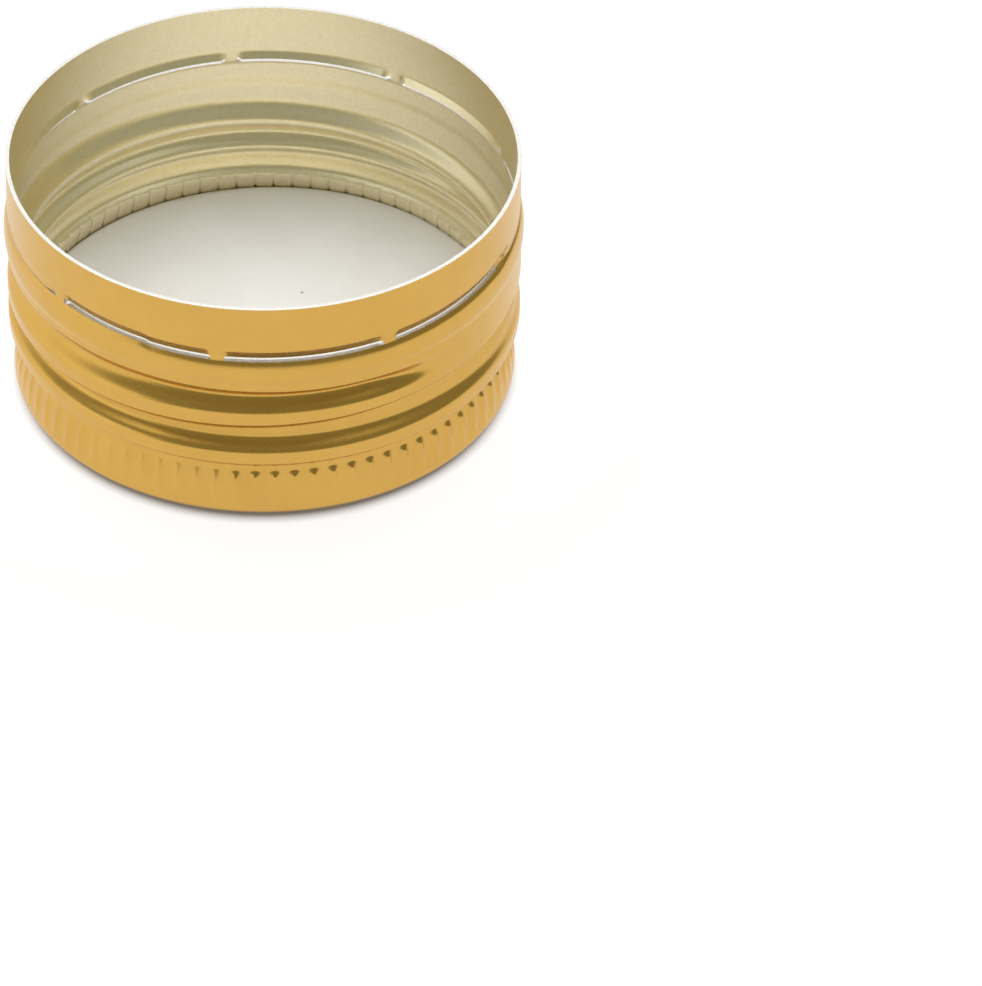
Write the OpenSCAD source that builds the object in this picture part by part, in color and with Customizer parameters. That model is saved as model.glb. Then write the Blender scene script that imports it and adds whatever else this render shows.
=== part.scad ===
// Roll-on screw cap for a bottle neck: one drawn sheet shell and the liner disc in it.
// Millimetres. The cap stands mouth up: z = 0 is the panel's outer face, +Z leaves the mouth.
// The wall is one sheet everywhere, so a groove outside is a ridge of the same form inside.

/* [Cap] */
// Outside diameter of the tamper band
cap_d = 28.4; // [27.6:0.1:29.4]
// Height from the panel to the mouth's rim
cap_h = 14.6; // [14.2:0.1:16]
// Thickness of the sheet
sheet_t = 0.22; // [0.18:0.01:0.24]
// Outside radius of the shoulder round the panel
shoulder_r = 1.3; // [1:0.05:1.5]

/* [Tamper band] */
// Height of the band above its slots
band_h = 3.25; // [2.8:0.05:3.5]
// Height of the slots
slot_h = 0.3; // [0.2:0.05:0.5]
// Height of the band's bent lips above the slots
lip_h = 0.5; // [0.3:0.05:0.7]
// How far the lips are bent in
lip_in = 0.2; // [0.1:0.05:0.25]
// Number of bridges that hold the band
bridges = 9; // [6:1:14]
// Width of a bridge along the wall
bridge_w = 0.75; // [0.5:0.05:1.2]
// Direction of the first bridge, in degrees from +X
bridge_turn = 17.5; // [0:0.5:40]

/* [Bead] */
// Height of the bead's upper slope, from the slots to its crest
bead_drop = 1.1; // [0.9:0.1:1.3]
// How far the bead's crest stands out from the tamper band
bead_out = 0.2; // [0.1:0.01:0.3]
// How far the wall between the grooves stands out from the tamper band
land_out = 0.1; // [0:0.01:0.16]

/* [Thread] */
// Rise of the thread in one turn
thread_pitch = 2.45; // [2.3:0.05:2.6]
// Depth of the thread groove, rolled in from outside
thread_depth = 0.7; // [0.4:0.05:0.8]
// Width of the groove with both flanks
thread_w = 1.55; // [1.4:0.05:1.7]
// Extra width where the groove is widest, a third of a turn from its start
thread_spread = 0.85; // [0:0.05:1]
// Distance from the mouth's rim down to the middle of the groove's start
thread_top = 6.22; // [6.1:0.02:6.4]
// Direction of the groove's start, in degrees from +X
thread_turn = -44; // [-90:1:90]
// Length of the thread, in degrees
thread_arc = 500; // [440:10:560]
// Level run at the thread's start before it descends, in degrees
thread_lead = 75; // [40:5:110]
// Length over which the groove deepens at its start, in degrees
thread_fade = 24; // [15:1:60]
// Distance from the mouth's rim down to the middle of the level groove in which the thread ends
ring_drop = 9.04; // [9:0.02:9.2]
// Width of the level groove
ring_w = 1.42; // [1.3:0.02:1.5]
// Share of its depth that the level groove loses at +X, where the thread comes down to it
ring_loss = 0.5; // [0:0.05:0.8]

/* [Knurl] */
// Number of ribs round the grip
ribs = 80; // [60:1:90]
// Direction of a rib, in degrees from +X
rib_turn = 2.1; // [0:0.1:6]
// Radius of a rib's rounded back
rib_r = 0.26; // [0.22:0.01:0.3]
// Depth of the ribs' backs, from the tamper band's outside
rib_depth = 0.06; // [0.04:0.01:0.12]
// Depth of the narrow channel behind a rib, inside
channel_r = 0.12; // [0.08:0.01:0.14]
// Height of the ribs' upper ends above the panel
rib_top = 3.15; // [2.9:0.05:3.3]
// Depth of the flutes between the ribs, from the tamper band's outside
flute_depth = 0.5; // [0.4:0.01:0.54]
// Height of the neck ring's floor above the ribs' ends
neck_rise = 0.35; // [0.3:0.05:0.5]
// Height of the neck ring's upper slope
neck_w = 0.7; // [0.5:0.05:0.9]
// Depth of the neck ring, from the tamper band's outside
neck_depth = 0.55; // [0.4:0.01:0.6]

/* [Liner] */
// Thickness of the liner disc
liner_t = 2.3; // [1.5:0.1:2.3]
// Radial play between the liner and the shell
liner_play = 0.03; // [0.02:0.01:0.1]
// Radius of the liner's upper edge
liner_edge = 0.25; // [0.1:0.05:0.4]

/* [Hidden] */
$fn = 120;
cap_r = cap_d / 2;
slot_top = cap_h - band_h;
slot_low = slot_top - slot_h;
bead_z = slot_low - bead_drop;
lip_z = slot_low - 0.4;
neck_z = rib_top + neck_rise;
neck_r = cap_r - neck_depth;
flute_r = cap_r - flute_depth;
bridge_arc = bridge_w / cap_r * 180 / PI;
round_r = cap_r - shoulder_r;
// The flutes leave the shoulder's round at turn_z and have their full depth from flute_z up.
turn_z = 0.6 * shoulder_r;
turn_angle = acos(1 - turn_z / shoulder_r);
edge_r = round_r + shoulder_r * sin(turn_angle);
flute_z = 1.5 * shoulder_r;
columns = 72;
rows = 18;
// The rolled wall's ends reach this far into the turned rings, a little thinner than they are.
tongue_h = 0.15;
tongue_in = 0.05;

// Smooth step from 0 to 1 while x goes from a to b.
function ease(x, a, b) =
  let (t = min(1, max(0, (x - a) / (b - a))))
  t * t * (3 - 2 * t);

// Swelling of the wall beyond the tamper band: steep under the slots, round at the bead, then the land.
function swell(z) =
  z > slot_low ? 0 :
  z >= bead_z ? bead_out * (1 - pow((z - bead_z) / bead_drop, 3)) :
  land_out + (bead_out - land_out) * ease(z, bead_z - 0.4, bead_z);

// Depth of a rounded groove at distance x from its middle.
function dip(x, w) = abs(x) < w / 2 ? pow(cos(180 * x / w), 2) : 0;

// Width of the thread groove, s degrees along it from its start.
function thread_width(s) = thread_w + thread_spread * dip(s - 130, 220);

// Distance from the rim down to the middle of the thread groove, s degrees along it.
function thread_drop(s) = thread_top + thread_pitch * max(0, s - thread_lead) / 360;

// Share of the depth that the thread groove has at height z, s degrees along it.
function thread_dip(z, s) =
  s <= 0 || s >= thread_arc ? 0 :
  ease(s, 0, thread_fade) * ease(thread_arc - s, 0, 50) * dip(z - cap_h + thread_drop(s), thread_width(s));

// Share of the depth that the level groove has in direction a.
function ring_share(a) = 1 - ring_loss * dip((a + 540) % 360 - 180, 170);

// Share of the depth between the thread's last turn and the level groove, where the two run together.
function joined_dip(z, a, s) =
  let (top = cap_h - thread_drop(s), low = cap_h - ring_drop)
  s < 300 || s >= thread_arc || z >= top || z <= low ? 0 :
  ease(s, 300, 350) * (1 - (1 - ring_share(a)) * (top - z) / (top - low));

// The thread passes each side up to twice and runs out into the level groove; the deepest counts.
function groove(z, a) =
  let (s = (thread_turn - a + 720) % 360)
  thread_depth * ease(z, neck_z + 0.1, neck_z + 0.6) * max(
    thread_dip(z, s), thread_dip(z, s + 360), joined_dip(z, a, s), joined_dip(z, a, s + 360),
    ring_share(a) * dip(z - cap_h + ring_drop, ring_w)
  );

// Outside radius of the rolled wall at height z, in direction a.
function wall_r(z, a) =
  neck_r + (cap_r + swell(z) - neck_r) * ease(z, neck_z, neck_z + neck_w) - groove(z, a);

// Slope of the rolled wall along z.
function slope(z, a) = (wall_r(z + 0.02, a) - wall_r(z - 0.02, a)) / 0.04;

function outer_point(z, a, inset) =
  let (r = wall_r(z, a) - inset)
  [r * cos(a), r * sin(a), z];

// The inner point lies one sheet behind the outer one, square to the wall.
function inner_point(z, a, inset) =
  let (k = slope(z, a), n = sqrt(1 + k * k), r = wall_r(z, a) - sheet_t / n + inset)
  [r * cos(a), r * sin(a), inset > 0 ? z : z + sheet_t * k / n];

// Heights of the rolled wall's rows, from the neck ring up to the lip under the slots.
wall_z = [
  neck_z - tongue_h,
  for (i = [0:rows]) neck_z + 0.08 + (lip_z - 0.16 - neck_z) * i / rows,
  lip_z + tongue_h
];

function inset_at(i) = i == 0 || i == len(wall_z) - 1 ? tongue_in : 0;

// The threaded wall: a closed tube of outer rings and inner rings.
module rolled_wall() {
  n = len(wall_z);
  turns = [for (j = [0:columns - 1]) 360 * j / columns];
  outer = [for (i = [0:n - 1]) for (a = turns) outer_point(wall_z[i], a, inset_at(i))];
  inner = [for (i = [0:n - 1]) for (a = turns) inner_point(wall_z[i], a, inset_at(i))];
  m = n * columns;
  sides = [
    for (i = [0:n - 2]) for (j = [0:columns - 1])
      let (p = i * columns + j, q = i * columns + (j + 1) % columns)
      each [
        [p, p + columns, q + columns], [p, q + columns, q],
        [m + p, m + q + columns, m + p + columns], [m + p, m + q, m + q + columns]
      ]
  ];
  ends = [
    for (j = [0:columns - 1])
      let (p = j, q = (j + 1) % columns, t = (n - 1) * columns)
      each [
        [p, q, m + q], [p, m + q, m + p],
        [t + p, m + t + q, t + q], [t + p, m + t + p, m + t + q]
      ]
  ];
  polyhedron(points = concat(outer, inner), faces = concat(sides, ends), convexity = 10);
}

// The lip under the slots, where the bead's slope starts.
module slot_lip() {
  lip = [for (i = [0:4]) lip_z + (slot_low - lip_z) * i / 4];
  rotate_extrude()
    polygon(concat(
      [for (z = lip) [cap_r + swell(z - 0.001), z]],
      [for (i = [4:-1:0]) [cap_r + swell(lip[i] - 0.001) - sheet_t, lip[i]]]
    ));
}

// A turned piece of arc degrees at each gap or bridge, beginning at the direction given.
module arcs(start, arc) {
  for (k = [0:bridges - 1])
    rotate([0, 0, start + k * 360 / bridges])
      rotate_extrude(angle = arc)
        children();
}

// The tamper band: a plain ring, its lips bent in over the slots, and the bridges that hold it.
module tamper_band() {
  bend_z = slot_top + lip_h;
  gap = 360 / bridges - bridge_arc;
  step = 0.02;
  translate([0, 0, bend_z])
    difference() {
      cylinder(h = cap_h - bend_z, r = cap_r);
      translate([0, 0, -1])
        cylinder(h = cap_h, r = cap_r - sheet_t);
    }
  arcs(bridge_turn + bridge_arc / 2 + 0.3, gap - 0.6)
    polygon([
      [cap_r - step, bend_z + 0.1], [cap_r - step, bend_z], [cap_r - lip_in, slot_top],
      [cap_r - lip_in - sheet_t, slot_top], [cap_r - sheet_t + step, bend_z], [cap_r - sheet_t + step, bend_z + 0.1]
    ]);
  arcs(bridge_turn - bridge_arc / 2, bridge_arc)
    translate([cap_r - sheet_t + step, slot_low - 0.1])
      square([sheet_t - 2 * step, bend_z - slot_low + 0.2]);
}

// Outside of the flutes' lower ends, i quarters of the way from the shoulder to their full depth.
function run_out(i) =
  [edge_r + (flute_r - edge_r) * ease(i / 4, 0, 1), turn_z + (flute_z - turn_z) * i / 4];

// Panel, shoulder and the grip's wall up to the neck ring.
module cup() {
  steps = 6;
  inner_r = shoulder_r - sheet_t;
  rotate_extrude()
    polygon(concat(
      [[0, 0]],
      [for (i = [0:steps]) [round_r + shoulder_r * sin(turn_angle * i / steps),
        shoulder_r - shoulder_r * cos(turn_angle * i / steps)]],
      [for (i = [1:4]) run_out(i)],
      [[flute_r, rib_top - 0.1], [neck_r, neck_z - 0.15], [neck_r, neck_z]],
      [[neck_r - sheet_t, neck_z], [neck_r - sheet_t, neck_z - 0.2], [flute_r - sheet_t, rib_top - 0.15]],
      [for (i = [4:-1:1]) run_out(i) - [sheet_t, 0]],
      [for (i = [steps:-1:0]) [round_r + inner_r * sin(turn_angle * i / steps),
        shoulder_r - inner_r * cos(turn_angle * i / steps)]],
      [[0, sheet_t]]
    ));
}

// Standing rods with rounded tops, all round the grip, their middles at distance d from the axis.
module rods(d, r, low, top) {
  for (k = [0:ribs - 1])
    rotate([0, 0, rib_turn + k * 360 / ribs])
      translate([d, 0, 0])
        rotate_extrude($fn = 24)
          polygon([[0, low], [r, low], [r, top - r], [r * 0.7, top - r * 0.3], [0, top]]);
}

// The ribs' backs, rooted in the middle of the sheet and running out on the shoulder.
module rib_backs() {
  root = sheet_t / 2;
  intersection() {
    rods(cap_r - rib_depth - rib_r, rib_r, 0, rib_top);
    rotate_extrude()
      polygon([
        [edge_r - root, turn_z - 0.06], [cap_r + 1, flute_z + 0.2], [cap_r + 1, neck_z], [flute_r - root, neck_z],
        run_out(4) - [root, 0], run_out(2) - [root, 0]
      ]);
  }
}

// The knurled grip: the cup with a rib back outside and a narrow channel inside at each step.
module grip() {
  difference() {
    cup();
    rods(flute_r - sheet_t, channel_r, shoulder_r + 0.15, rib_top - 0.25);
  }
  rib_backs();
}

// The drawn shell: one sheet from the panel to the tamper band's rim.
module shell() {
  color("#d8b055") {
    grip();
    rolled_wall();
    slot_lip();
    tamper_band();
  }
}

// The sealing disc that lies on the panel inside.
module liner() {
  liner_r = flute_r - sheet_t - liner_play;
  low_r = shoulder_r - sheet_t;
  color("#e6e2dc")
    translate([0, 0, sheet_t])
      rotate_extrude()
        polygon([
          [0, 0], [liner_r - low_r, 0], [liner_r, low_r],
          [liner_r, liner_t - liner_edge], [liner_r - liner_edge, liner_t], [0, liner_t]
        ]);
}

shell();
liner();
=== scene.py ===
"""Roll-on bottle cap: gold-lacquered aluminium shell with its liner disc, standing mouth up."""
import math

import bmesh
import bpy
from mathutils import Matrix, Vector, noise


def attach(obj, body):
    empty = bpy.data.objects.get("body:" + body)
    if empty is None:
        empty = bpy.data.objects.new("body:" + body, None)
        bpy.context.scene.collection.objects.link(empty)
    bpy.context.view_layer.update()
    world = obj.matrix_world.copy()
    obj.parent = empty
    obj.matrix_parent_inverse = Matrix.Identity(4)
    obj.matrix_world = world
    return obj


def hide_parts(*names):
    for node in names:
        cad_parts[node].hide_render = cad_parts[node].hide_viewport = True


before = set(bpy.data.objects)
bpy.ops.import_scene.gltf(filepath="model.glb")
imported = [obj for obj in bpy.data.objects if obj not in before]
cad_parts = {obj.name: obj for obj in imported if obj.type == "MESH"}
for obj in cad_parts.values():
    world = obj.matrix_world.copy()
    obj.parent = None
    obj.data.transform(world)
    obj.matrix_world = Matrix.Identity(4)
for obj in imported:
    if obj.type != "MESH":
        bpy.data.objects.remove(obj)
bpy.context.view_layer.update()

# Sizes in millimetres, the same ones as the part's source.
MM = 0.001
CAP_R = 14.2
CAP_H = 14.6
SHEET = 0.22
SHOULDER = 1.3
SLOT_TOP = 11.35
SLOT_LOW = 11.05
SLOT_SPRUNG = 0.15   # at the front the lip has sprung down by this much over the slots
LIP_TALL = 0.4       # the source gives the bent lip 0.5, and bends it 0.2 in,
LIP_IN = 0.25        # to clear a bottle's collar by its full play
BEAD_DROP = 1.1
BEAD_OUT = 0.2
LAND_OUT = 0.1
PITCH = 2.45
GROOVE_DEEP = 0.7
GROOVE_WIDE = 1.55
GROOVE_SPREAD = 0.85
GROOVE_TOP = 6.22
GROOVE_TURN = -44.0
GROOVE_ARC = 500.0
GROOVE_LEAD = 75.0
GROOVE_FADE = 24.0
RING_DROP = 9.04
RING_WIDE = 1.42
RING_LOSS = 0.65     # at the right the ring is shallower than in the source, which has 0.5
RIBS = 80
RIB_TURN = 2.1
RIB_TOP = 3.15
RIB_OUT = 0.24
TURN_Z = 0.6 * SHOULDER
NECK_Z = 3.5
NECK_DEEP = 0.55
NECK_WIDE = 0.7
LINER_T = 2.3
BRIDGE_AT = (18.0, 57.5, 97.3, 137.2, 177.5, 218.5, 259.2, 298.2, 336.0)   # the nine, as they stand
BRIDGE_HALF = 1.5

# Sizes of the look alone. Inside, the thread's ridges are wider and lower than its grooves are outside.
RIDGE_OVER = 0.7
RIDGE_DROP = 0.22
RIDGE_CALM = 0.45    # share by which they climb less at the back
RIDGE_PRESS = 0.1    # the sheet bulges this much further in between the bead and the neck ring
TILE_END = 3.5       # inside, the grip's tiles end at a small step
TILE_STEP = 0.3
STEP_TOP = 3.82
INSIDE_Z = 3.75      # height where the inside's grip mesh meets its wall mesh
TORN_AT = 336.0      # the bridge that has begun to tear
BRIDGE_FOOT = 0.8    # degrees over which a bridge's sides run into the bent lip

TURNS = 360          # columns round the threaded wall, one a degree
RIB_TURNS = 720      # columns round the grip, nine to a rib
INNER, OUTER, EDGE = 0, 1, 2   # a new face is inner until it is told


# ---- Shape of the sheet ----

def ease(x, a, b):
    t = min(1.0, max(0.0, (x - a) / (b - a)))
    return t * t * (3 - 2 * t)


def slope(x, a, b):
    return min(1.0, max(0.0, (x - a) / (b - a)))


def apart(a, b):
    """Degrees from direction b to direction a, the short way and with its sign."""
    return (a - b + 180) % 360 - 180


def from_front(a):
    """Degrees from the front, which is the side the photograph shows, to direction a."""
    return apart(a, -90)


def swell(z):
    """How far the wall stands out from the tamper band: steep lip, round bead, then the land."""
    if z >= SLOT_LOW:
        return 0.0
    bead_z = SLOT_LOW - BEAD_DROP
    if z >= bead_z:
        return BEAD_OUT * (1 - ((z - bead_z) / BEAD_DROP) ** 3)
    return LAND_OUT + (BEAD_OUT - LAND_OUT) * ease(z, bead_z - 0.4, bead_z)


def dip(x, width):
    return math.cos(math.pi * x / width) ** 2 if abs(x) < width / 2 else 0.0


def groove(z, a, over=0.0, calm=0.0):
    """Depth of the rolled thread: two passes of a groove and the level ring they end in.

    The sheet's inside has wider ridges (over, in mm) which climb less at the back (calm, a share)."""
    level = 1 - RING_LOSS * dip(apart(a, 0), 170)
    low = CAP_H - RING_DROP
    share = level * dip(z - low, RING_WIDE + over / 4)
    s = (GROOVE_TURN - a + 720) % 360
    for run in (s, s + 360):
        if 0 < run < GROOVE_ARC:
            drop = PITCH * max(0.0, run - GROOVE_LEAD) / 360
            top = CAP_H - GROOVE_TOP - drop - calm * (1.05 - drop) * dip(run - 225, 220)
            wide = GROOVE_WIDE + GROOVE_SPREAD * dip(run - 130, 220) + over
            full = ease(run, 0, GROOVE_FADE) * ease(GROOVE_ARC - run, 0, 50)
            share = max(share, full * dip(z - top, wide))
            if run > 300 and low < z < top:
                share = max(share, ease(run, 300, 350) * (1 - (1 - level) * (top - z) / (top - low)))
    return GROOVE_DEEP * share * ease(z, NECK_Z + 0.1, NECK_Z + 0.6)


def wall_radius(z, a):
    """Outside radius of the rolled wall above the neck ring."""
    if z >= SLOT_LOW:
        return CAP_R
    neck = CAP_R - NECK_DEEP
    return neck + (CAP_R + swell(z) - neck) * ease(z, NECK_Z, NECK_Z + NECK_WIDE) - groove(z, a)


def inner_wall(z, a):
    """Inside radius above the grip's tiles: a small step, the land, then the ridges of the thread."""
    if z >= SLOT_LOW:
        return CAP_R - SHEET
    foot = NECK_R + TILE_STEP * ease(z, TILE_END, STEP_TOP)
    foot += (NECK_DEEP - TILE_STEP + LAND_OUT) * ease(z, STEP_TOP, 4.9)
    press = RIDGE_PRESS * ease(z, 4.5, 5.2) * (1 - ease(z, 9.2, 9.9))
    return min(foot, CAP_R + swell(z)) - SHEET - press - groove(z + RIDGE_DROP, a, RIDGE_OVER, RIDGE_CALM)


def across_rib(a):
    """Place across the rib pattern: 0 on a rib's back, half to either side in the flutes' middles."""
    return ((a - RIB_TURN) * RIBS / 360 + 0.5) % 1 - 0.5


def rib(a):
    """Height of the rib pattern across the grip, 0 in a flute and 1 on a rib's back."""
    return dip(across_rib(a), 0.6)


def shoulder(z):
    """Outside radius of the shoulder's round."""
    return CAP_R - SHOULDER + SHOULDER * math.sqrt(max(0.0, 1 - (1 - min(z, SHOULDER) / SHOULDER) ** 2))


EDGE_R = shoulder(TURN_Z)
NECK_R = CAP_R - NECK_DEEP


def flute_radius(z):
    """Outside radius between the ribs: the shoulder's round, then a taper up to the neck ring."""
    return shoulder(z) if z < TURN_Z else EDGE_R + (NECK_R - EDGE_R) * slope(z, TURN_Z, RIB_TOP)


def grip_radius(z, a):
    """Outside radius from the shoulder up to the neck ring's floor."""
    flute = flute_radius(z)
    back = min(shoulder(z), EDGE_R + (NECK_R + RIB_OUT - EDGE_R) * slope(z, TURN_Z - 0.2, RIB_TOP))
    # The ribs end abruptly at the front right, and run out gently at the left and behind.
    run_out = 0.25 + 0.75 * ease(from_front(a), -2, -16) if abs(from_front(a)) < 90 else 0.6
    return flute + max(0.0, back - flute) * rib(a) * (1 - slope(z, RIB_TOP - run_out, RIB_TOP))


def radius(z, a):
    return grip_radius(z, a) if z < NECK_Z else wall_radius(z, a)


def inner_radius(z, a):
    """Inside radius of the grip: wide tiles parted by the narrow channels behind the ribs."""
    if z < TURN_Z:
        tile = CAP_R - SHOULDER + (SHOULDER - SHEET) * math.sqrt(
            max(0.0, 1 - ((SHOULDER - z) / (SHOULDER - SHEET)) ** 2))
    else:
        raised = 0.1 * ease(z, 2.2, 3.2) * (1 - slope(z, 3.44, 3.56))
        tile = flute_radius(z) - SHEET - raised + TILE_STEP * ease(z, TILE_END, STEP_TOP)
    across = math.exp(-(across_rib(a) / 0.05) ** 2)
    channel = 0.1 * across * ease(z, 1.3, 1.7) * (1 - slope(z, 3.44, 3.54))
    return tile + channel


# ---- Building tools ----

def spin_line(bm, points, steps):
    """Turns a line of (radius, height) points once round the axis and returns its rings of vertices."""
    part = bmesh.new()
    line = [part.verts.new((r, 0, z)) for r, z in points]
    edges = [part.edges.new(pair) for pair in zip(line, line[1:])]
    bmesh.ops.spin(part, geom=line + edges, cent=(0, 0, 0), axis=(0, 0, 1),
                   angle=math.tau, steps=steps, use_merge=True)
    mesh = bpy.data.meshes.new("turned")
    part.to_mesh(mesh)
    part.free()
    first = len(bm.verts)
    bm.from_mesh(mesh)
    bpy.data.meshes.remove(mesh)
    bm.verts.ensure_lookup_table()
    rings = {}
    for v in bm.verts[first:]:
        rings.setdefault(round(v.co.z, 4), []).append(v)
    return rings


def angle_of(v):
    return math.degrees(math.atan2(v.co.y, v.co.x))


def set_radius(v, r, a=None, z=None):
    a = math.radians(angle_of(v) if a is None else a)
    v.co = (r * math.cos(a), r * math.sin(a), v.co.z if z is None else z)


def spread(n, low, high):
    return [low + (high - low) * i / n for i in range(n + 1)]


def finish_mesh(bm, name):
    """Scales a mesh made in millimetres to metres and links it as a smooth object."""
    bmesh.ops.scale(bm, vec=(MM, MM, MM), verts=bm.verts)
    mesh = bpy.data.meshes.new(name)
    bm.to_mesh(mesh)
    bm.free()
    for p in mesh.polygons:
        p.use_smooth = True
    obj = bpy.data.objects.new(name, mesh)
    bpy.context.scene.collection.objects.link(obj)
    return obj


# ---- Shell ----

def squeeze(a):
    """Moves the grip's even columns towards the ribs' backs, where the sheet bends."""
    x = across_rib(a)
    s = abs(x) / 0.5
    moved = 0.5 * (0.55 * s + 0.45 * s ** 2.6)
    return a + (math.copysign(moved, x) - x) * 360 / RIBS


def from_bridge(a):
    """Degrees from direction a to the nearest bridge's middle."""
    return min(abs(apart(a, b)) for b in BRIDGE_AT)


def over_slot(a):
    """1 over a slot, falling to 0 at the bridges beside it."""
    return ease(from_bridge(a), BRIDGE_HALF, BRIDGE_HALF + BRIDGE_FOOT)


# Where the slitting wheel ran higher: (degrees from the front, lift in mm).
# Its cuts met in a step. Behind, it ran lower.
LIFT_BEHIND = -0.1
LIFTS = ((-140, LIFT_BEHIND), (-51, 0.26), (-27.5, 0.16), (-26.5, 0.06), (-12, 0.0), (28, 0.0), (60, 0.16),
         (75, 0.22), (140, LIFT_BEHIND))


def lift(a):
    """How much higher than in the source the slots run in direction a."""
    t = from_front(a)
    for (t0, v0), (t1, v1) in zip(LIFTS, LIFTS[1:]):
        if t0 <= t <= t1:
            return v0 + (v1 - v0) * (t - t0) / (t1 - t0)
    return LIFT_BEHIND


def tight(a):
    """1 at the two sides, where the wheel hardly pressed and the lip is left straight."""
    t = abs(from_front(a) - 6)
    return ease(t, 57, 63) * (1 - ease(t, 95, 110))


def pinch(z, a):
    """How far a slot's edges have sprung together; at the sides it nearly closes."""
    if SLOT_TOP - 0.01 < z < SLOT_TOP + 0.01:
        front = ease(abs(from_front(a)), 110, 90)
        return -0.06 * tight(a) - SLOT_SPRUNG * front * over_slot(a)
    return 0.05 * tight(a) if SLOT_LOW - 0.01 < z < SLOT_LOW + 0.01 else 0.0


def lip_bend(z, a):
    """How far the band's edge is bent in over a slot; the bridges hold it straight."""
    if not SLOT_TOP - 0.1 < z < SLOT_TOP + LIP_TALL:
        return 0.0
    return LIP_IN * (1 - 0.9 * tight(a)) * over_slot(a) * (SLOT_TOP + LIP_TALL - z) / LIP_TALL


def sill(z, a):
    """How far the slitting wheel pushed in the sheet's inner edge under a slot."""
    return 0.07 * over_slot(a) * ease(z, SLOT_LOW - 0.14, SLOT_LOW) * (z < SLOT_TOP - 0.1)


def brow(z, a):
    """How far the outer edge under the slots is rounded in, most at the front right."""
    share = 0.25 + 0.75 * ease(from_front(a), 18, 36)
    return 0.08 * share * ease(z, 10.83, SLOT_LOW) * (z < SLOT_TOP - 0.1)


def wall_tube(bm, inside):
    """The threaded wall, lip, slots' zone and tamper band, outside or inside."""
    heights = spread(40, INSIDE_Z, 10.6) if inside else spread(60, NECK_Z, 10.6)
    heights += [10.7, 10.8, 10.88, 10.94, 10.98, 11.01, 11.03, SLOT_LOW]
    heights += [SLOT_TOP, 11.45, 11.55, 11.65, 11.75, 11.83, 11.87, 11.95, 12.1] + spread(7, 12.3, 14.4)
    heights += [14.5, 14.56, CAP_H]
    rings = spin_line(bm, [(CAP_R, z) for z in heights], TURNS)
    for ring in rings.values():
        for v in ring:
            z, a = v.co.z, angle_of(v)
            r = wall_radius(z, a)
            if inside:
                r = min(r, inner_wall(z, a)) - sill(z, a)
            else:
                r -= brow(z, a)
            up = lift(a) * ease(z, 10.5, 10.9) * (1 - ease(z, 11.9, 12.4))
            # The torn bridge is crumpled in and dragged sideways by the turn that began to tear it.
            torn = dip(apart(a, TORN_AT), 12) * ease(z, 10.8, 11.0) * (1 - ease(z, 11.6, 11.9))
            crumple = 0.16 * torn * (0.6 + noise.noise(Vector((a * 0.9, z * 5, 3))))
            r -= lip_bend(z, a) + crumple
            set_radius(v, r, a + 4.5 * torn * (z - 11.3), z + up + pinch(z, a))
    return rings


def grip_tube(bm, inside):
    """The grip and its shoulder, outside or inside, in 720 columns gathered at the ribs."""
    if inside:
        low = SHEET
        arc = [SHOULDER - (SHOULDER - SHEET) * math.cos(math.radians(t)) for t in spread(6, 22.5, 90)]
        heights = arc + [1.6, 2.0, 2.2, 2.5, 2.7, 2.9, 3.1, 3.25, 3.36, 3.42, 3.45, 3.48]
        heights += [3.52, 3.56, 3.6, 3.65]
        form = inner_radius
    else:
        low = 0
        arc = [SHOULDER * (1 - math.cos(math.radians(t))) for t in spread(9, 10, 90)]
        heights = arc + [1.5, 1.75, 2.0, 2.3, 2.6, 2.75, 2.85, 2.92, 2.98, 3.03, 3.07, 3.12]
        heights += [3.18, 3.25, 3.32, 3.42]
        form = grip_radius
    rings = spin_line(bm, [(CAP_R, z) for z in heights], RIB_TURNS)
    for ring in rings.values():
        for v in ring:
            a = squeeze(angle_of(v))
            set_radius(v, form(v.co.z, a), a)
    return rings


def loop_edges(ring):
    """The edges that join a ring's own vertices."""
    keep = set(ring)
    return list({e for v in ring for e in v.link_edges if e.other_vert(v) in keep})


def close_panel(bm, ring, z, radii):
    """Fills a grip's bottom ring with flat rings of the given radii and a last face."""
    for r in radii:
        made = bmesh.ops.extrude_edge_only(bm, edges=loop_edges(ring))["geom"]
        ring = [g for g in made if isinstance(g, bmesh.types.BMVert)]
        for v in ring:
            set_radius(v, r, z=z)
    bmesh.ops.contextual_create(bm, geom=loop_edges(ring))


def cut_slots(bm):
    """Opens the gaps between the bridges through both sides and closes their cut edges."""
    def in_slot(f):
        c = f.calc_center_median()
        a = math.degrees(math.atan2(c.y, c.x))
        return SLOT_LOW + 0.04 < c.z - lift(a) < SLOT_TOP - 0.09 and from_bridge(a) > BRIDGE_HALF

    bmesh.ops.delete(bm, geom=[f for f in bm.faces if in_slot(f)], context="FACES")
    rims = {}
    for e in bm.edges:
        if e.is_boundary:
            c = (e.verts[0].co + e.verts[1].co) / 2
            a = math.degrees(math.atan2(c.y, c.x))
            rims.setdefault(sum(b < a % 360 for b in BRIDGE_AT) % len(BRIDGE_AT), []).append(e)
    for edges in rims.values():
        for f in bmesh.ops.bridge_loops(bm, edges=edges)["faces"]:
            f.material_index = EDGE


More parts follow.
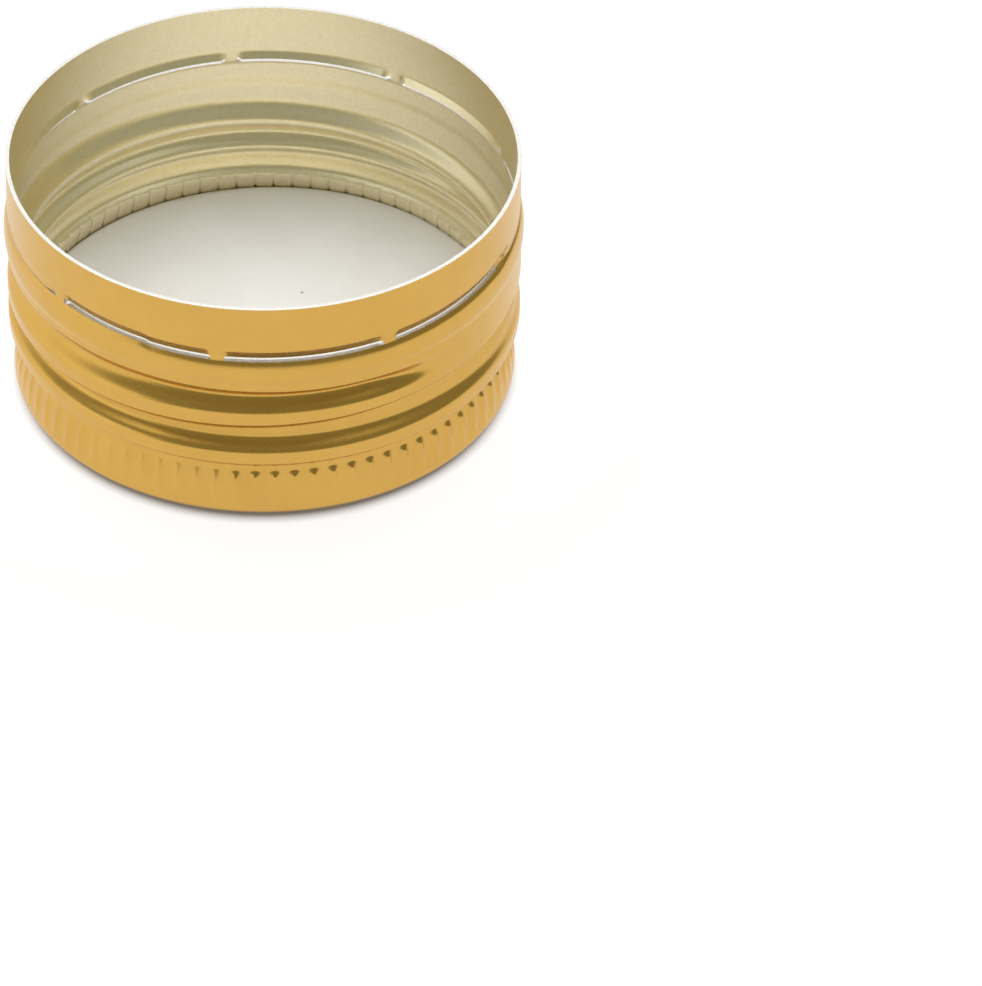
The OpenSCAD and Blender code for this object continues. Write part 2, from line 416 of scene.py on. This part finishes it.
def shell():
    bm = bmesh.new()
    sides = {}
    for inside in (False, True):
        wall = wall_tube(bm, inside)
        grip = grip_tube(bm, inside)
        bmesh.ops.bridge_loops(bm, edges=loop_edges(wall[min(wall)]) + loop_edges(grip[max(grip)]))
        close_panel(bm, grip[min(grip)], SHEET if inside else 0.0, (CAP_R - SHOULDER, 9.0, 4.0))
        sides[inside] = wall[max(wall)]
        if not inside:
            for f in bm.faces:
                f.material_index = OUTER
    rim = bmesh.ops.bridge_loops(bm, edges=loop_edges(sides[False]) + loop_edges(sides[True]))
    for f in rim["faces"]:
        f.material_index = EDGE
    cut_slots(bm)
    bmesh.ops.recalc_face_normals(bm, faces=bm.faces)
    for e in bm.edges:
        kinds = {f.material_index for f in e.link_faces}
        e.smooth = not (EDGE in kinds and len(kinds) > 1)
    return finish_mesh(bm, "cap_shell")


# ---- Liner ----

def liner():
    """The foam disc: a flat face with a crisp stamped edge that follows the wall's taper."""
    bm = bmesh.new()
    wide = flute_radius(SHEET + LINER_T) - SHEET - 0.02
    low, top = SHEET, SHEET + LINER_T
    points = [(wide - 1.08, low), (wide - 0.6, low + 0.25), (wide - 0.25, low + 0.6),
              (wide - 0.05, low + 1.08), (wide, top - 0.3), (wide, top - 0.08),
              (wide - 0.015, top - 0.03), (wide - 0.05, top - 0.005)]
    rings = spin_line(bm, points, 240)
    ring = rings[max(rings)]
    bottom = rings[min(rings)]
    for r in (wide - 0.3, wide - 0.8, wide - 1.6, 11.0, 9.0, 7.0, 5.0, 3.0, 1.2):
        made = bmesh.ops.extrude_edge_only(bm, edges=loop_edges(ring))["geom"]
        ring = [g for g in made if isinstance(g, bmesh.types.BMVert)]
        for v in ring:
            set_radius(v, r, z=top)
    # The disc was stamped and pressed in by hand: it tilts a little and its face isn't quite flat.
    for v in bm.verts:
        if v.co.z > low + 0.7:
            x, y, was = v.co.x / wide, v.co.y / wide, v.co.z
            v.co.z += 0.34 * x - 0.06 * y - 0.1 + 0.05 * noise.noise(Vector((x * 2.4, y * 2.4, 7.0)))
            out = math.hypot(x, y)
            set_radius(v, wide * out + (flute_radius(v.co.z) - flute_radius(was)) * out ** 8)
    bmesh.ops.contextual_create(bm, geom=loop_edges(ring))
    bmesh.ops.contextual_create(bm, geom=loop_edges(bottom))
    bmesh.ops.recalc_face_normals(bm, faces=bm.faces)
    return finish_mesh(bm, "liner_disc")


# ---- Materials ----

def linear(code):
    """An sRGB hex colour as linear RGBA."""
    parts = [int(code[i:i + 2], 16) / 255 for i in (1, 3, 5)]
    return [c / 12.92 if c <= 0.04045 else ((c + 0.055) / 1.055) ** 2.4 for c in parts] + [1.0]


def node(tree, kind, inputs=(), links=(), **settings):
    """Adds a node with its settings, its inputs' values and its links (socket, from node, from socket)."""
    n = tree.nodes.new(kind)
    for key, value in settings.items():
        setattr(n, key, value)
    for key, value in dict(inputs).items():
        n.inputs[key].default_value = value
    for socket, source, out in links:
        tree.links.new(source.outputs[out], n.inputs[socket])
    return n


def material(name):
    mat = bpy.data.materials.new(name)
    mat.use_nodes = True
    tree = mat.node_tree
    tree.nodes.clear()
    return mat, tree


def ramp(tree, source, out, stops):
    """A colour ramp on a value."""
    n = node(tree, "ShaderNodeValToRGB", links=[("Fac", source, out)])
    while len(n.color_ramp.elements) < len(stops):
        n.color_ramp.elements.new(1.0)
    for element, (place, code) in zip(n.color_ramp.elements, stops):
        element.position = place
        element.color = linear(code) if isinstance(code, str) else [code, code, code, 1.0]
    return n


def gold_lacquer():
    """Gold roll-coated lacquer on aluminium sheet: smooth, its tint deeper in double reflections."""
    mat, tree = material("gold_lacquered_aluminium")
    where = node(tree, "ShaderNodeTexCoord")
    # The rolled sheet's grain, about 0.15 mm, softens the gloss a little.
    grain = node(tree, "ShaderNodeTexNoise", {"Scale": 6500.0, "Detail": 2.0},
                 [("Vector", where, "Object")])
    cloud = node(tree, "ShaderNodeTexNoise", {"Scale": 420.0, "Detail": 3.0},
                 [("Vector", where, "Object")])
    tint = ramp(tree, cloud, "Fac", [(0.3, "#CFA453"), (0.7, "#D4A957")])
    gloss = node(tree, "ShaderNodeMapRange", {"To Min": 0.25, "To Max": 0.32}, [("Value", grain, "Fac")])
    bump = node(tree, "ShaderNodeBump", {"Strength": 0.05, "Distance": 0.00002}, [("Height", grain, "Fac")])
    skin = node(tree, "ShaderNodeBsdfPrincipled", {"Metallic": 1.0},
                [("Base Color", tint, "Color"), ("Roughness", gloss, "Result"), ("Normal", bump, "Normal")])
    node(tree, "ShaderNodeOutputMaterial", links=[("Surface", skin, "BSDF")])
    return mat


def pale_lacquer():
    """Clear inside lacquer on aluminium sheet: a pale olive champagne satin."""
    mat, tree = material("clear_lacquered_aluminium")
    where = node(tree, "ShaderNodeTexCoord")
    grain = node(tree, "ShaderNodeTexNoise", {"Scale": 5200.0, "Detail": 2.0},
                 [("Vector", where, "Object")])
    tint = ramp(tree, grain, "Fac", [(0.3, "#F3E8C6"), (0.7, "#FAF0D2")])
    bump = node(tree, "ShaderNodeBump", {"Strength": 0.08, "Distance": 0.00002}, [("Height", grain, "Fac")])
    skin = node(tree, "ShaderNodeBsdfPrincipled", {"Metallic": 1.0, "Roughness": 0.35},
                [("Base Color", tint, "Color"), ("Normal", bump, "Normal")])
    node(tree, "ShaderNodeOutputMaterial", links=[("Surface", skin, "BSDF")])
    return mat


def bare_edge():
    """Sheared aluminium, bare and bright."""
    mat, tree = material("sheared_aluminium")
    where = node(tree, "ShaderNodeTexCoord")
    grain = node(tree, "ShaderNodeTexNoise", {"Scale": 9000.0, "Detail": 2.0},
                 [("Vector", where, "Object")])
    tint = ramp(tree, grain, "Fac", [(0.3, "#E4E2E4"), (0.7, "#FAF8FA")])
    skin = node(tree, "ShaderNodeBsdfPrincipled", {"Metallic": 1.0, "Roughness": 0.45},
                [("Base Color", tint, "Color")])
    node(tree, "ShaderNodeOutputMaterial", links=[("Surface", skin, "BSDF")])
    return mat


def speck(tree, where, clean, middle, size, code):
    """A ragged grain of dirt, its size in metres, stuck on at one place of a clean colour."""
    ragged = node(tree, "ShaderNodeTexNoise", {"Scale": 9000.0}, [("Vector", where, "Object")])
    off = node(tree, "ShaderNodeVectorMath", {1: middle}, [(0, where, "Object")], operation="DISTANCE")
    edge = node(tree, "ShaderNodeMath", {1: size}, [(0, ragged, "Fac"), (2, off, "Value")],
                operation="MULTIPLY_ADD")
    cover = node(tree, "ShaderNodeMapRange", {
        "From Min": size * 1.3, "From Max": size * 1.7, "To Min": 1.0, "To Max": 0.0},
        [("Value", edge, "Value")])
    return node(tree, "ShaderNodeMix", {7: linear(code)}, [(0, cover, "Result"), (6, clean, "Color")],
                data_type="RGBA")


def foam():
    """White foamed polyethylene with a smooth film face."""
    mat, tree = material("foamed_polyethylene")
    where = node(tree, "ShaderNodeTexCoord")
    cloud = node(tree, "ShaderNodeTexNoise", {"Scale": 260.0, "Detail": 4.0},
                 [("Vector", where, "Object")])
    tint = ramp(tree, cloud, "Fac", [(0.3, "#EDECEF"), (0.7, "#F2F2F6")])
    bump = node(tree, "ShaderNodeBump", {"Strength": 0.05, "Distance": 0.00005}, [("Height", cloud, "Fac")])
    dirty = speck(tree, where, tint, (0.00213, 0.00333, 0.0025), 0.00009, "#7A3B2E")
    skin = node(tree, "ShaderNodeBsdfPrincipled", {"Roughness": 0.75, "IOR": 1.5},
                [("Base Color", dirty, 2), ("Normal", bump, "Normal")])
    node(tree, "ShaderNodeOutputMaterial", links=[("Surface", skin, "BSDF")])
    return mat


def floor_paint():
    """White acrylic table lit from below, a glowing white ground, with a painted contact shadow under and
    around the cap's foot and a painted brighter ring just beside it.
    """
    mat, tree = material("glowing_table_painted_contact_shadow")
    where = node(tree, "ShaderNodeTexCoord")
    far = node(tree, "ShaderNodeVectorMath", links=[(0, where, "Object")], operation="LENGTH")
    # Painted contact shadow, from the panel's edge outwards over 10 mm: the glow is dark under the cap,
    # painted brightest just beside it, then even further out.
    outward = node(tree, "ShaderNodeMapRange", {"From Min": 0.0125, "From Max": 0.0225},
                   [("Value", far, "Value")])
    stops = [(0.0, 0.05), (0.105, 0.1), (0.14, 0.5), (0.185, 0.78), (1.0, 0.61)]
    painted_shadow_glow = ramp(tree, outward, "Result", stops)
    skin = node(tree, "ShaderNodeBsdfPrincipled", {
        "Base Color": linear("#B4B4B4"), "Roughness": 0.8, "Emission Color": linear("#FBFBFF")},
        [("Emission Strength", painted_shadow_glow, "Color")])
    node(tree, "ShaderNodeOutputMaterial", links=[("Surface", skin, "BSDF")])
    return mat


# ---- The cap ----

cap = shell()
for finish in (pale_lacquer(), gold_lacquer(), bare_edge()):
    cap.data.materials.append(finish)
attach(cap, "root")
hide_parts("shell")

disc = liner()
disc.data.materials.append(foam())
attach(disc, "root")
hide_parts("liner")


# ---- Table, light and camera ----

bm = bmesh.new()
bmesh.ops.create_grid(bm, x_segments=2, y_segments=2, size=3000.0)
table = finish_mesh(bm, "table")
table.data.materials.append(floor_paint())


def softbox(name, place, aim, size, power, colour="#FFFFFF"):
    """A rectangular area light aimed at a point, in metres and watts."""
    light = bpy.data.lights.new(name, "AREA")
    light.shape = "RECTANGLE"
    light.size, light.size_y = size
    light.energy = power
    light.color = linear(colour)[:3]
    obj = bpy.data.objects.new(name, light)
    obj.location = place
    obj.rotation_euler = (Vector(aim) - Vector(place)).to_track_quat("-Z", "Y").to_euler()
    bpy.context.scene.collection.objects.link(obj)
    return obj


softbox("top_box", (0.0, 0.35, 1.1), (0, 0, 0), (1.6, 1.2), 13.5)
softbox("left_box", (-1.2, 0.2, 0.38), (0, 0.2, 0.38), (2.5, 0.76), 5.0)

world = bpy.data.worlds.new("studio")
world.use_nodes = True
world.node_tree.nodes["Background"].inputs["Color"].default_value = (0.31, 0.31, 0.23, 1)
world.node_tree.nodes["Background"].inputs["Strength"].default_value = 1.0
bpy.context.scene.world = world
bpy.context.scene.view_settings.view_transform = "Standard"

# The camera stands 36 degrees above the rim's plane, 363 mm off, and the rim's middle falls where it does
# in the photograph: 264, 153 pixels from the frame's corner.
FRAME_W, FRAME_H = 982, 986
FOCAL_PX = 6597.0
ELEVATION = math.radians(36.09)
LEAN = math.radians(-0.317)
rim = Vector((0, 0, CAP_H * MM))
back = Vector((0, -math.cos(ELEVATION), math.sin(ELEVATION)))
place = rim + back * (25.6 * CAP_R * MM)
side = Vector((1, 0, 0))
straight = Matrix((side, back.cross(side), back)).transposed()
off = Vector(((263.68 - FRAME_W / 2) / FOCAL_PX, -(153.39 - FRAME_H / 2) / FOCAL_PX, -1))
turn = Vector((0, 0, -1)).rotation_difference(off).to_matrix()
roll = Matrix.Rotation(LEAN, 3, "Z")
camera = bpy.data.objects.new("camera", bpy.data.cameras.new("camera"))
camera.data.sensor_fit = "HORIZONTAL"
camera.data.sensor_width = 36.0
camera.data.lens = 36.0 * FOCAL_PX / FRAME_W
camera.data.clip_start = 0.01
camera.matrix_world = Matrix.Translation(place) @ (straight @ roll @ turn.inverted()).to_4x4()
bpy.context.scene.collection.objects.link(camera)
bpy.context.scene.camera = camera
